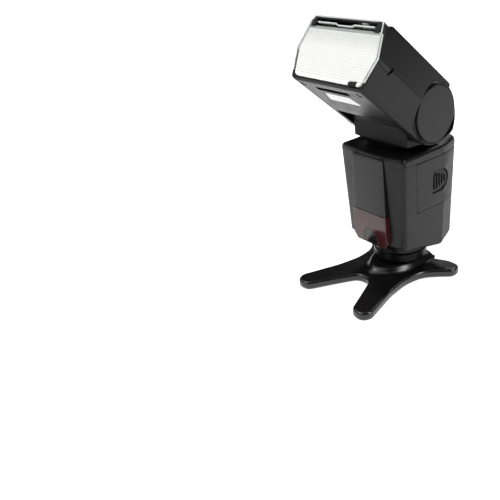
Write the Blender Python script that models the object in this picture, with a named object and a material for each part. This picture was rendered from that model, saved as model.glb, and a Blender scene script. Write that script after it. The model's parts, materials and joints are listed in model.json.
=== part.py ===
"""Speedlight flash with tilting, panning zoom head, standing on its mini stand.

Frame: +Z up, the lamp faces -Y, origin on the floor under the pan axis.
"""
import math

import bmesh
import bpy
from mathutils import Matrix
from mathutils import Vector

MM = 0.001
GAP = 0.3

# Mini stand
STAND_THICK = 6.6
BOSS_TOP = 11.0
SLOT_FLOOR = 7.0
RAIL_UNDER = 9.7
SLOT_HALF = 9.7
RAIL_GAP_HALF = 7.5
STOP_Y = -9.8
RAIL_END_Y = 10.0

# Mounting foot
SHOE_HALF = 9.3
SHOE_LOW = 7.3
SHOE_HIGH = 9.3
CORE_R = 15.0
CORE_LOW = 11.5
FOOT_TOP = 20.0
COLLAR_R = 20.8
FOOT_Y = 3.0
COLLAR_LOW = 12.6
COLLAR_HIGH = 19.7
PIN_Y = -6.4
PIN_R = 1.2

# Body
BODY_HALF = 31.6
BODY_TAPER = 2.8
FRONT_CORNER_Y = -27.3
FRONT_MID_Y = -30.0
FRONT_RECEDE = 4.0
FACET_Y = 18.6
REAR_Y = 35.2
WALL = 2.2
TOP_WALL = 4.6
SECTION_LOW = 33.0
SECTION_HIGH = 103.0
BASE_R = 20.4

# Head
PIVOT_Z = 131.0
REST_TILT = 40.0
HEAD_MID = 39.0
HEAD_TOP_HALF = 33.0
HEAD_LOW_HALF = 34.0
HEAD_MID_H = -1.2
HEAD_LOW_H = -22.5
HEAD_FRONT_TOP = 75.2
HEAD_FRONT_LOW = 68.0
HEAD_TOP_FRONT_H = 22.6
HEAD_TOP_REAR_H = 25.4
HEAD_LIP = -4.5
CHEEK_R = 22.5
CHEEK_IN = 27.6
YOKE_HALF = 27.2
DRUM_R = 20.8
CAP_R = 20.0
CAP_FACE = 37.6
TURNTABLE_R = 16.6
AXLE_R = 4.0


def clear_scene():
    for ob in list(bpy.data.objects):
        bpy.data.objects.remove(ob, do_unlink=True)


def material(slot, colour, roughness, metallic=0.0, alpha=1.0):
    found = bpy.data.materials.get(slot)
    if found:
        return found
    made = bpy.data.materials.new(slot)
    made.use_nodes = True
    shader = made.node_tree.nodes["Principled BSDF"]
    shader.inputs["Base Color"].default_value = (*colour, 1.0)
    shader.inputs["Roughness"].default_value = roughness
    shader.inputs["Metallic"].default_value = metallic
    shader.inputs["Alpha"].default_value = alpha
    made.diffuse_color = (*colour, 1.0)
    return made


def satin_black():
    return material("satin_black_plastic", (0.022, 0.022, 0.024), 0.45)


def matte_black():
    return material("matte_black_plastic", (0.03, 0.03, 0.032), 0.6)


def gloss_black():
    return material("gloss_black_panel", (0.012, 0.012, 0.013), 0.15)


def stand_black():
    return material("stand_black_plastic", (0.026, 0.026, 0.027), 0.42)


def red_clear():
    return material("red_window_plastic", (0.25, 0.03, 0.035), 0.18)


def dark_red():
    return material("dark_sensor_plastic", (0.05, 0.008, 0.01), 0.12)


def clear_plastic():
    return material("clear_plastic", (0.86, 0.88, 0.88), 0.12)


def white_plastic():
    return material("white_plastic", (0.85, 0.85, 0.83), 0.5)


def rubber():
    return material("black_rubber", (0.035, 0.035, 0.036), 0.8)


def steel():
    return material("plated_steel", (0.6, 0.6, 0.6), 0.3, 1.0)


def brass():
    return material("brass", (0.75, 0.55, 0.25), 0.3, 1.0)


def gold():
    return material("gold_contact", (0.85, 0.62, 0.25), 0.25, 1.0)


def mirror():
    return material("bright_reflector", (0.88, 0.88, 0.9), 0.08, 1.0)


def board_green():
    return material("circuit_board", (0.03, 0.16, 0.06), 0.5)


def copper():
    return material("copper_winding", (0.6, 0.3, 0.14), 0.4, 1.0)


def cell_wrap():
    return material("cell_sleeve", (0.2, 0.22, 0.25), 0.4)


def button_grey():
    return material("button_grey", (0.09, 0.09, 0.095), 0.5)


def lcd_green():
    return material("lcd_glass", (0.32, 0.38, 0.3), 0.25)


def lamp_amber():
    return material("lamp_amber", (0.7, 0.25, 0.05), 0.25)


def object_from(bm, name):
    bmesh.ops.recalc_face_normals(bm, faces=bm.faces)
    mesh = bpy.data.meshes.new(name)
    bm.to_mesh(mesh)
    bm.free()
    ob = bpy.data.objects.new(name, mesh)
    bpy.context.collection.objects.link(ob)
    return ob


def place(axis, a, b, c):
    if axis == "X":
        return Vector((c, a, b)) * MM
    if axis == "Y":
        return Vector((a, c, b)) * MM
    return Vector((a, b, c)) * MM


def prism(points, low, high, axis="Z"):
    """Polygon in the plane across the axis, extruded from low to high."""
    bm = bmesh.new()
    bottom = [bm.verts.new(place(axis, a, b, low)) for a, b in points]
    top = [bm.verts.new(place(axis, a, b, high)) for a, b in points]
    bm.faces.new(bottom)
    bm.faces.new(top)
    count = len(points)
    for i in range(count):
        j = (i + 1) % count
        bm.faces.new((bottom[i], bottom[j], top[j], top[i]))
    return object_from(bm, "solid")


def block(x0, x1, y0, y1, z0, z1):
    return prism([(x0, y0), (x1, y0), (x1, y1), (x0, y1)], z0, z1)


def ring_points(radius, centre=(0.0, 0.0), count=32, start=0.0):
    turn = 2.0 * math.pi / count
    return [(centre[0] + radius * math.cos(start + turn * i),
             centre[1] + radius * math.sin(start + turn * i)) for i in range(count)]


def cylinder(radius, low, high, centre=(0.0, 0.0), axis="Z", count=24):
    return prism(ring_points(radius, centre, count), low, high, axis)


def fillet(points, radii, steps=4):
    """Polygon with each corner replaced by an arc of its own radius."""
    out = []
    count = len(points)
    for i, corner in enumerate(points):
        here = Vector(corner)
        before = Vector(points[i - 1])
        after = Vector(points[(i + 1) % count])
        radius = radii[i] if isinstance(radii, (list, tuple)) else radii
        if radius <= 0.0:
            out.append(tuple(here))
            continue
        to_before = (before - here).normalized()
        to_after = (after - here).normalized()
        angle = to_before.angle(to_after)
        reach = radius / math.tan(angle / 2.0)
        middle = here + (to_before + to_after).normalized() * (radius / math.sin(angle / 2.0))
        first = here + to_before * reach - middle
        sweep = math.pi - angle
        cross = to_before.x * to_after.y - to_before.y * to_after.x
        sign = -1.0 if cross > 0.0 else 1.0
        for k in range(steps + 1):
            a = sign * sweep * k / steps
            c = math.cos(a)
            s = math.sin(a)
            out.append((middle.x + first.x * c - first.y * s,
                        middle.y + first.x * s + first.y * c))
    return out


def rounded_rect(x0, x1, y0, y1, radius, steps=4):
    return fillet([(x0, y0), (x1, y0), (x1, y1), (x0, y1)], radius, steps)


def settle(ob):
    """Make the object's modifiers part of its mesh."""
    bpy.context.view_layer.update()
    graph = bpy.context.evaluated_depsgraph_get()
    mesh = bpy.data.meshes.new_from_object(ob.evaluated_get(graph))
    ob.modifiers.clear()
    ob.data = mesh
    return ob


def combine(ob, other, operation):
    step = ob.modifiers.new("combine", "BOOLEAN")
    step.operation = operation
    step.solver = "EXACT"
    step.object = other
    settle(ob)
    bpy.data.objects.remove(other, do_unlink=True)
    return ob


def cut(ob, *others):
    for other in others:
        combine(ob, other, "DIFFERENCE")
    return ob


def fuse(ob, *others):
    for other in others:
        combine(ob, other, "UNION")
    return ob


def keep(ob, other):
    return combine(ob, other, "INTERSECT")


def soften(ob, width, segments=2, angle=35.0):
    step = ob.modifiers.new("edge", "BEVEL")
    step.width = width * MM
    step.segments = segments
    step.limit_method = "ANGLE"
    step.angle_limit = math.radians(angle)
    return settle(ob)


def copy_of(ob):
    twin = ob.copy()
    twin.data = ob.data.copy()
    bpy.context.collection.objects.link(twin)
    return twin


def mirrored_x(ob):
    twin = ob
    twin.data.transform(Matrix.Scale(-1.0, 4, Vector((1.0, 0.0, 0.0))))
    twin.data.flip_normals()
    return twin


def clean(ob):
    bm = bmesh.new()
    bm.from_mesh(ob.data)
    bmesh.ops.remove_doubles(bm, verts=bm.verts, dist=0.000002)
    bmesh.ops.dissolve_degenerate(bm, edges=bm.edges, dist=0.000001)
    bm.to_mesh(ob.data)
    bm.free()
    return ob


def finish(ob, name, finish_material, origin=(0.0, 0.0, 0.0)):
    """Name the piece, give it its material and put its origin where it turns."""
    ob.name = name
    ob.data.name = name
    ob.data.materials.clear()
    ob.data.materials.append(finish_material)
    for face in ob.data.polygons:
        face.material_index = 0
    clean(ob)
    ob.data.transform(Matrix.Translation(Vector(origin) * -MM))
    ob.location = Vector(origin) * MM
    return ob


def head_frame():
    turn = Matrix.Rotation(math.radians(-REST_TILT), 4, "X")
    return Matrix.Translation(Vector((0.0, 0.0, PIVOT_Z * MM))) @ turn


def finish_head(ob, name, finish_material, centre=(0.0, 0.0, 0.0)):
    """Head pieces are drawn level about the tilt axis, then set at the rest tilt."""
    ob.name = name
    ob.data.name = name
    ob.data.materials.clear()
    ob.data.materials.append(finish_material)
    for face in ob.data.polygons:
        face.material_index = 0
    clean(ob)
    ob.data.transform(Matrix.Translation(Vector(centre) * -MM))
    ob.matrix_world = head_frame() @ Matrix.Translation(Vector(centre) * MM)
    return ob


# ---------------------------------------------------------------- mini stand

def stand_outline():
    right = [(0.0, 17.5), (17.0, 18.6), (32.0, 25.0), (45.0, 25.2), (43.2, 14.2), (27.4, -2.0),
             (25.6, -20.0), (28.6, -38.0), (37.4, -66.0), (35.0, -74.2), (23.8, -73.0),
             (12.9, -50.8), (6.0, -37.6), (0.0, -37.6)]
    radii = [0, 30, 7, 6.2, 6.2, 24, 40, 50, 6.4, 6.4, 6.4, 0, 7.0, 0]
    left = [(-x, y) for x, y in reversed(right[1:-1])]
    points = right + left
    rounds = radii + list(reversed(radii[1:-1]))
    return fillet(points, rounds, 3)


def boss_outline(inset):
    """Raised middle of the stand: a rounded nose to the front, straight sides to the rear."""
    half, nose, rear = 20.4 - inset, 31.5 - 1.4 * inset, 23.4 - 0.8 * inset
    right = []
    for k in range(1, 12):
        a = math.pi / 2.0 * k / 12.0
        right.append((half * math.sin(a) ** 1.32, -nose * math.cos(a)))
    right += [(half, 0.0), (half, 12.0), (half, rear - 3.0), (half - 0.9, rear - 0.9), (half - 3.0, rear)]
    return [(0.0, -nose)] + right + [(-x, y) for x, y in reversed(right)]


def stacked(levels):
    """Closed form through outlines with the same number of corners, each at its height."""
    bm = bmesh.new()
    rings = [[bm.verts.new(Vector((x, y, z)) * MM) for x, y in outline] for outline, z in levels]
    bm.faces.new(rings[0])
    bm.faces.new(rings[-1])
    for lower, upper in zip(rings, rings[1:]):
        for i in range(len(lower)):
            j = (i + 1) % len(lower)
            bm.faces.new((lower[i], lower[j], upper[j], upper[i]))
    return object_from(bm, "solid")


def build_boss():
    slope = [(0.0, 5.4), (0.0, 6.7), (1.0, 7.3), (2.2, 8.9), (3.2, 10.2), (4.2, 10.8), (5.4, BOSS_TOP)]
    return stacked([(boss_outline(inset), z) for inset, z in slope])


def build_stand():
    stand = soften(prism(stand_outline(), 0.0, STAND_THICK), 1.9, 2, 40.0)
    fuse(stand, build_boss())
    ramp = [(RAIL_END_Y, SLOT_FLOOR + 0.5), (RAIL_END_Y, SLOT_FLOOR), (30.0, 4.6), (30.0, SLOT_FLOOR + 0.5)]
    relief = rounded_rect(7.9, 9.2, -8.8, 9.0, 0.5, 2)
    cutters = [block(-SLOT_HALF, SLOT_HALF, STOP_Y, 30.0, SLOT_FLOOR, RAIL_UNDER),
               block(-RAIL_GAP_HALF, RAIL_GAP_HALF, STOP_Y - 1.0, 30.0, SLOT_FLOOR + 0.4, 14.0),
               block(-SLOT_HALF + 0.02, SLOT_HALF - 0.02, RAIL_END_Y, 30.0, SLOT_FLOOR + 0.3, 14.0),
               prism(ramp, -SLOT_HALF + 0.01, SLOT_HALF - 0.01, "X")]
    for x in (-2.6, 0.0, 2.6):
        groove = [(11.0, SLOT_FLOOR + 1.0), (11.0, 6.35), (30.0, 4.1), (30.0, SLOT_FLOOR + 1.0)]
        cutters.append(prism(groove, x - 0.35, x + 0.35, "X"))
    cutters.append(cylinder(PIN_R + 0.4, 4.6, 12.0, (0.0, PIN_Y), count=20))
    cutters += [prism(relief, 5.4, 8.0), mirrored_x(prism(relief, 5.4, 8.0))]
    cut(stand, *[over_foot(cutter) for cutter in cutters])
    finish(stand, "stand_base", stand_black())


def over_foot(ob):
    """Move a solid from the foot's own centre to where the foot is under the body."""
    ob.data.transform(Matrix.Translation((0.0, FOOT_Y * MM, 0.0)))
    return ob


# ------------------------------------------------------------- mounting foot

def build_foot():
    shoe = prism(rounded_rect(-SHOE_HALF, SHOE_HALF, -9.3, 9.3, 1.2), SHOE_LOW, SHOE_HIGH)
    soften(shoe, 0.35, 1)
    fuse(shoe, prism(rounded_rect(-7.0, 7.0, -8.4, 8.4, 1.0), SHOE_HIGH - 0.4, CORE_LOW + 0.6))
    fuse(shoe, soften(cylinder(CORE_R, CORE_LOW, FOOT_TOP, count=36), 0.5, 1))
    cut(shoe, cylinder(PIN_R + 0.3, SHOE_LOW - 1.0, 17.2, (0.0, PIN_Y), count=20))
    for x, y in contact_places():
        cut(shoe, cylinder(1.25, SHOE_LOW - 1.0, SHOE_LOW + 3.0, (x, y), count=16))
    cut(shoe, block(-5.9, 5.9, -4.4, 6.0, SHOE_LOW + 2.2, SHOE_LOW + 4.0))
    finish(over_foot(shoe), "mounting_foot", satin_black(), (0.0, FOOT_Y, 0.0))


def contact_places():
    return [(0.0, 0.6), (-4.3, 4.4), (4.3, 4.4), (-4.3, -2.8), (4.3, -2.8)]


def build_contacts():
    """Five sprung pins on the strip that carries them inside the foot."""
    strip = block(-5.6, 5.6, -4.1, 5.7, SHOE_LOW + 2.5, SHOE_LOW + 3.7)
    for x, y in contact_places():
        fuse(strip, soften(cylinder(0.95, SHOE_LOW - 0.1, SHOE_LOW + 3.0, (x, y), count=12), 0.2, 1))
    finish(over_foot(strip), "foot_contacts", gold(), (0.0, FOOT_Y, 0.0))


def build_locking_pin():
    pin = soften(cylinder(PIN_R, 7.5, 16.0, (0.0, PIN_Y), count=20), 0.3, 1)
    finish(over_foot(pin), "locking_pin", steel(), (0.0, PIN_Y + FOOT_Y, 7.5))


def build_collar():
    collar = soften(cylinder(COLLAR_R, COLLAR_LOW, COLLAR_HIGH, count=40), 0.9, 1)
    thumb = [(-6.0, 20.0), (6.0, 20.0), (7.5, 27.6), (-7.5, 27.6)]
    fuse(collar, soften(prism(fillet(thumb, [0, 0, 2.0, 2.0]), COLLAR_LOW + 0.9, COLLAR_HIGH - 1.2), 0.5, 1))
    cut(collar, cylinder(CORE_R + GAP, 5.0, 30.0, count=36))
    for x in (-3.6, -1.2, 1.2, 3.6):
        cut(collar, block(x - 0.45, x + 0.45, 27.0, 30.0, COLLAR_LOW, COLLAR_HIGH))
    finish(over_foot(collar), "locking_collar", satin_black(), (0.0, FOOT_Y, 16.0))


# ---------------------------------------------------------------------- body

def between(value, table):
    if value <= table[0][0]:
        return table[0][1]
    for (a, fa), (b, fb) in zip(table, table[1:]):
        if value <= b:
            return fa + (fb - fa) * (value - a) / (b - a)
    return table[-1][1]


def body_top(y):
    return between(y, [(-32.0, 102.8), (20.0, 104.6), (27.0, 106.9), (31.0, 107.2), (36.0, 106.6)])


def body_bottom(y):
    return between(y, [(-32.0, 33.6), (16.0, 22.2), (19.0, 22.2), (36.0, 28.8)])


def body_half(z):
    return BODY_HALF - BODY_TAPER * (SECTION_HIGH - z) / (SECTION_HIGH - SECTION_LOW)


def body_section(z):
    """Right half of the plan outline, from the front centre to the rear centre."""
    down = (SECTION_HIGH - z) / (SECTION_HIGH - SECTION_LOW)
    w = body_half(z)
    mid = FRONT_MID_Y + FRONT_RECEDE * down
    corner = FRONT_CORNER_Y + FRONT_RECEDE * down
    return [(0.0, mid - 0.7), (8.0, mid - 0.5), (14.5, mid), (w - 3.6, corner - 0.6),
            (w - 1.5, corner + 0.1), (w - 0.4, corner + 1.4), (w, corner + 3.2), (w, -12.0), (w, 4.0),
            (w, 16.0), (w, FACET_Y), (w - 1.6, 27.0), (w - 2.4, 31.0), (w - 3.6, 33.4),
            (w - 6.4, 34.8), (14.0, REAR_Y), (0.0, REAR_Y + 0.2)]


def shrunk(points, amount):
    """Offset an outline inwards, each point along its own normal."""
    out = []
    last = len(points) - 1
    for i, point in enumerate(points):
        here = Vector(point)
        before = Vector(points[max(i - 1, 0)])
        after = Vector(points[min(i + 1, last)])
        if i in (0, last):
            normal = Vector((0.0, 1.0 if i == 0 else -1.0))
        else:
            run_in = (here - before).normalized()
            run_out = (after - here).normalized()
            way = (run_in + run_out).normalized()
            normal = Vector((-way.y, way.x)) / max(0.5, way.dot(run_in))
        step = amount[i] if isinstance(amount, list) else amount
        moved_point = here + normal * step
        if i in (0, last):
            moved_point.x = 0.0
        out.append((moved_point.x, moved_point.y))
    return out


def body_solid(inset, top_drop, bottom_rise, edge):
    """The body's outer form, or its hollow when inset."""
    bm = bmesh.new()
    rings = []
    levels = [(0.0, k / 3.0) for k in range(4)]
    levels += [(0.33, 1.0), (0.66, 1.0)]
    levels += [(1.0, 1.0 - k / 3.0) for k in range(4)]
    for up, turned in levels:
        z_nominal = SECTION_LOW + up * (SECTION_HIGH - SECTION_LOW)
        base = body_section(z_nominal)
        radii = []
        for x, y in base:
            rear = between(y, [(20.0, 1.5), (28.0, 2.6)]) if up > 0.5 else 1.0
            radii.append(edge * rear)
        angle = (1.0 - turned) * math.pi / 2.0
        amounts = [inset + r * (1.0 - math.cos(angle)) for r in radii]
        outline = shrunk(base, amounts)
        ring = []
        for (x, y), r in zip(outline, radii):
            low = body_bottom(y) + bottom_rise
            high = body_top(y) - top_drop
            rise = r * (1.0 - math.sin(angle))
            if up == 0.0:
                z = low + rise
            elif up == 1.0:
                z = high - rise
            else:
                z = low + edge + (high - low - 2.0 * edge) * up
            ring.append((x, y, z))
        rings.append(ring)
    loops = [ring_loop(bm, ring) for ring in rings]
    for lower, upper in zip(loops, loops[1:]):
        count = len(lower)
        for i in range(count):
            j = (i + 1) % count
            bm.faces.new((lower[i], lower[j], upper[j], upper[i]))
    for loop in (loops[0], loops[-1]):
        cap_loop(bm, loop)
    return object_from(bm, "body")


def ring_loop(bm, ring):
    right = [bm.verts.new(Vector(p) * MM) for p in ring]
    left = [bm.verts.new(Vector((-x, y, z)) * MM) for x, y, z in reversed(ring[1:-1])]
    return right + left


def cap_loop(bm, loop):
    """Close a ring with strips running straight across the body."""
    half = len(loop) // 2
    right = loop[:half + 1]
    left = [loop[0]] + list(reversed(loop[half + 1:])) + [loop[half]]
    for i in range(half):
        face = []
        for vert in (right[i], right[i + 1], left[i + 1], left[i]):
            if vert not in face:
                face.append(vert)
        bm.faces.new(face)


def body_shell():
    shell = body_solid(0.0, 0.0, 0.0, 1.7)
    fuse(shell, over_foot(cylinder(BASE_R, FOOT_TOP + GAP, 34.0, count=36)))
    cut(shell, body_solid(WALL, TOP_WALL, WALL, 0.8))
    cut(shell, cylinder(TURNTABLE_R + 0.4, SECTION_HIGH, 120.0, count=36))
    cut(shell, cylinder(11.5, 80.0, 120.0, count=24))
    cut(shell, prism([(-14.0, 60.0), (18.0, 60.0), (18.0, 24.8), (-14.0, 29.0)], -17.0, 17.0, "X"))
    return shell


def top_region(margin):
    return [(-40.0, 100.6 + margin), (-26.6 + margin, 100.6 + margin), (-25.0 + margin, 96.6 + margin),
            (14.4 - margin, 96.6 + margin), (9.8 - margin, 112.0), (-40.0, 112.0)]


def rear_region(margin):
    return [(FACET_Y + margin, 10.0), (FACET_Y + margin, 96.6), (14.4 + margin, 96.6),
            (9.8 + margin, 112.0), (50.0, 112.0), (50.0, 10.0)]


def door_region(margin):
    m = margin
    return [(-13.6 - 0.05 - m, 95.9 + 2.2 * m), (-10.6 - m, 58.2 - m), (18.4, 58.0 - m), (40.0, 61.6 - m),
            (40.0, 98.0 + m), (14.3, 96.3 + 2.2 * m)]


def side_cutter(points, low=-60.0, high=60.0):
    return prism(points, low, high, "X")


def door_axis():
    """Two points of the battery door's hinge line."""
    upper = Vector((body_half(96.0) - 1.25, -12.5, 96.0))
    lower = Vector((body_half(58.0) - 1.25, -9.5, 58.0))
    return lower, upper


def build_body_shells():
    shell = body_shell()
    door_hole = side_cutter(door_region(0.35), 24.0, 60.0)
    top = keep(copy_of(shell), side_cutter(top_region(GAP / 2.0)))
    rear = keep(copy_of(shell), side_cutter(rear_region(GAP / 2.0)))
    front = cut(shell, side_cutter(top_region(-GAP / 2.0)), side_cutter(rear_region(-GAP / 2.0)))
    cut(front, copy_of(door_hole))
    cut(rear, door_hole)
    lower, upper = door_axis()
    along = (upper - lower).normalized()
    cut(front, rod_between(lower - along * 0.4, upper + along * 0.4, 1.95, 24))
    cut_front_seats(front)
    cut_rear_seats(rear)
    cut_side_seats(front)
    finish(top, "body_top_cover", satin_black())
    finish(front, "body_front_shell", satin_black())
    finish(rear, "body_rear_shell", satin_black())


def cut_front_seats(front):
    """Window behind the red lens and the pocket the front panel sits in."""
    cut(front, prism(panel_outline(0.2), -40.0, -24.0, "Y"))


def cut_side_seats(front):
    cut(front, prism(rounded_rect(-1.3, 17.3, 38.7, 57.3, 2.0), -40.0, -20.0, "X"))


# ---------------------------------------------------- front panel and windows

def panel_outline(grow):
    g = grow
    points = [(-15.2 - g, 99.8 + g), (15.2 + g, 99.8 + g), (17.4 + g, 36.0), (14.4 + g, 30.6 - g),
              (-14.4 - g, 30.6 - g), (-17.4 - g, 36.0)]
    return fillet(points, [1.2, 1.2, 3.0, 2.0, 2.0, 3.0], 3)


def panel_solid():
    """The whole proud front panel, gently bowed across, before it is split."""
    profile = [(-30.5, 101.5), (-31.4, 96.0), (-31.9, 66.0), (-30.9, 46.0), (-29.7, 36.5),
               (-28.4, 29.0), (-24.4, 29.0), (-26.8, 101.5)]
    panel = prism(profile, -19.0, 19.0, "X")
    bow = []
    for x, y in [(-20.0, -30.2), (-12.0, -31.4), (0.0, -31.9), (12.0, -31.4), (20.0, -30.2)]:
        bow.append((x, y))
    bow += [(20.0, -20.0), (-20.0, -20.0)]
    keep(panel, prism(bow, 20.0, 110.0))
    keep(panel, prism(panel_outline(0.0), -40.0, -20.0, "Y"))
    return panel


def arch_outline(grow):
    points = [(-6.4 - grow, 20.0), (6.4 + grow, 20.0)]
    for k in range(9):
        a = math.pi * k / 8.0
        points.append(((6.4 + grow) * math.cos(a), 37.0 + (6.6 + grow) * math.sin(a)))
    return points


def build_front_panel():
    whole = panel_solid()
    upper = keep(copy_of(whole), block(-30.0, 30.0, -50.0, -10.0, 57.3, 120.0))
    finish(soften(upper, 0.5, 2, 50.0), "front_panel", gloss_black())
    lower = keep(whole, block(-30.0, 30.0, -50.0, -10.0, 20.0, 57.0))
    arch = keep(copy_of(lower), prism(arch_outline(0.0), -50.0, -10.0, "Y"))
    cut(lower, prism(arch_outline(0.25), -50.0, -10.0, "Y"))
    finish(lower, "af_assist_window", red_clear())
    finish(arch, "sensor_window", dark_red())


def build_assist_lamps():
    """Two focus-assist lamps on the strip that holds them."""
    strip = block(-14.0, 14.0, -19.4, -18.2, 42.4, 49.6)
    for x in (-9.5, 9.5):
        lamp = soften(cylinder(2.5, -24.0, -19.0, (x, 46.0), "Y", 16), 0.8, 1)
        fuse(strip, lamp)
    finish(strip, "assist_lamps", clear_plastic())


# -------------------------------------------------------------- battery side

def build_battery_door():
    door = body_solid(0.0, 0.0, 0.0, 1.7)
    cut(door, body_solid(WALL, TOP_WALL, WALL, 0.8))
    keep(door, side_cutter(door_region(0.0), 24.35, 60.0))
    fuse(door, prism(latch_outline(1.2), LATCH_FLOOR - 1.2, LATCH_FLOOR + 0.5, "X"))
    cut(door, prism(latch_outline(0.3), LATCH_FLOOR, 60.0, "X"))
    cut(door, prism(rounded_rect(7.7, 14.2, 73.7, 80.3, 0.6, 2), 20.0, 60.0, "X"))
    lower, upper = door_axis()
    soften(door, 0.25, 1, 40.0)
    cut(door, rod_between(lower + Vector((0, 0, -3.0)), upper + Vector((0, 0, 3.0)), 0.85))
    middle = (lower + upper) / 2.0
    finish(door, "battery_door", satin_black(), tuple(middle))
    pin = rod_between(lower.lerp(upper, 0.03), lower.lerp(upper, 0.97), 0.6)
    finish(pin, "door_hinge_pin", steel(), tuple(middle))


def rod_between(start, end, radius, count=16):
    way = end - start
    rod = cylinder(radius, 0.0, way.length, count=count)
    turn = Vector((0.0, 0.0, 1.0)).rotation_difference(way.normalized()).to_matrix().to_4x4()
    rod.data.transform(Matrix.Translation(start * MM) @ turn)
    return rod


LATCH_FLOOR = 28.8


def latch_outline(grow):
    """D-shaped thumb piece: straight front edge, round rear edge."""
    points = [(5.6 - grow, 68.4 - grow), (14.0, 68.4 - grow)]
    for k in range(1, 12):
        a = -math.pi / 2.0 + math.pi * k / 12.0
        points.append((14.0 + (9.6 + grow) * math.cos(a), 77.0 + (8.6 + grow) * math.sin(a)))
    points += [(14.0, 85.6 + grow), (5.6 - grow, 85.6 + grow)]
    return points


def build_door_latch():
    """Ribbed thumb plate that slides to the rear in the door's recess, with a stem through the door."""
    plate = prism([(y - 0.6, z) for y, z in latch_outline(-0.6)], LATCH_FLOOR + 0.15, LATCH_FLOOR + 0.95, "X")
    fuse(plate, prism(rounded_rect(8.0, 12.0, 74.0, 80.0, 0.5, 2), 27.2, LATCH_FLOOR + 0.6, "X"))
    for k in range(5):
        y = 7.6 + 2.9 * k
        reach = 5.8 if k < 2 else 5.8 - 1.1 * (k - 1)
        rib = prism(rounded_rect(y - 0.6, y + 0.6, 77.0 - reach, 77.0 + reach, 0.5, 2),
                    LATCH_FLOOR + 0.5, LATCH_FLOOR + 2.0, "X")
        fuse(plate, rib)
    finish(plate, "door_latch", matte_black(), (28.4, 14.0, 77.0))


def cell_places():
    return [(3.6, 70.2), (18.4, 70.2), (3.6, 85.0), (18.4, 85.0)]


def build_battery_tray():
    tray = soften(block(-25.9, 24.8, -5.0, 26.4, 61.6, 93.6), 0.8, 1)
    for y, z in cell_places():
        cut(tray, cylinder(7.45, -24.9, 40.0, (y, z), "X", 24))
    cut(tray, block(-24.0, 40.0, -10.0, 1.0, 66.0, 74.0))
    cut(tray, block(-24.0, 40.0, -10.0, 1.0, 81.0, 89.0))
    finish(tray, "battery_tray", matte_black())


def build_cells():
    for number, (y, z) in enumerate(cell_places(), 1):
        cell = soften(cylinder(7.1, -24.6, 23.6, (y, z), "X", 28), 0.6, 1, 50.0)
        fuse(cell, cylinder(2.7, 23.0, 24.9, (y, z), "X", 20))
        finish(cell, f"battery_cell_{number}", cell_wrap(), (0.0, y, z))


def build_door_contacts():
    """Sprung contact plates and the insulating strip that joins them."""
    plate = prism(rounded_rect(9.6, 12.4, 66.0, 89.0, 1.0, 2), 26.05, 26.65, "X")
    for z in (70.2, 85.0):
        fuse(plate, prism(rounded_rect(-1.6, 23.6, z - 4.0, z + 4.0, 1.5, 2), 25.6, 26.2, "X"))
        for y in (3.6, 18.4):
            fuse(plate, soften(cylinder(2.0, 25.15, 25.9, (y, z), "X", 12), 0.3, 1))
    finish(plate, "door_contacts", gold())


# --------------------------------------------------------- electronics inside

def build_capacitor():
    can = soften(cylinder(8.6, -24.0, 24.0, (-14.2, 80.0), "X", 24), 0.8, 1)
    finish(can, "main_capacitor", matte_black())


def build_boards():
    board = block(-22.0, 22.0, 29.3, 30.5, 34.0, 90.0)
    finish(board, "main_board", board_green())
    core = soften(block(-20.0, -4.0, -14.0, 2.0, 38.0, 52.0), 1.0, 1)
    fuse(core, soften(block(-18.4, -5.6, -16.0, 4.0, 40.0, 50.0), 1.5, 2))
    finish(core, "inverter_transformer", copper())


# ---------------------------------------------------------------- rear panel

BUTTONS = {
    "function_button_1": (-13.0, 61.4, 2.9),
    "function_button_2": (0.0, 61.4, 2.9),
    "function_button_3": (13.0, 61.4, 2.9),
    "mode_button": (-17.4, 50.0, 2.7),
    "zoom_button": (17.4, 50.0, 2.7),
    "test_button": (-16.6, 38.8, 3.2),
}
DIAL_Z = 45.0
DIAL_R = 9.6
CONFIRM_R = 4.2
SWITCH_X = 16.6
SWITCH_Z = 38.8
SWITCH_R = 4.4


def cut_rear_seats(rear):
    cut(rear, prism(rounded_rect(-23.4, 23.4, 69.6, 96.4, 1.6), 33.7, 60.0, "Y"))
    cut(rear, prism(rounded_rect(-20.0, 20.0, 72.4, 93.6, 1.0), 20.0, 60.0, "Y"))
    for x, z, r in BUTTONS.values():
        cut(rear, cylinder(r + GAP, 20.0, 60.0, (x, z), "Y", 24))
    cut(rear, cylinder(DIAL_R + GAP, 20.0, 60.0, (0.0, DIAL_Z), "Y", 24))
    cut(rear, cylinder(SWITCH_R + GAP, 20.0, 60.0, (SWITCH_X, SWITCH_Z), "Y", 24))
    cut(rear, cylinder(1.3, 20.0, 60.0, (-16.6, 32.6), "Y", 16))


def build_display():
    window = soften(prism(rounded_rect(-23.0, 23.0, 70.0, 96.0, 1.4), 34.0, 35.7, "Y"), 0.4, 1)
    finish(window, "display_window", clear_plastic())
    panel = block(-19.5, 19.5, 31.0, 33.4, 72.9, 93.1)
    finish(panel, "display_panel", lcd_green())


def build_buttons():
    for name, (x, z, r) in BUTTONS.items():
        button = soften(cylinder(r, 32.6, 36.6, (x, z), "Y", 18), 0.5, 1)
        finish(button, name, button_grey(), (x, 36.6, z))
    lamp = soften(cylinder(1.0, 33.2, 35.8, (-16.6, 32.6), "Y", 16), 0.3, 1)
    finish(lamp, "ready_lamp", lamp_amber(), (-16.6, 35.8, 32.6))


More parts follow.
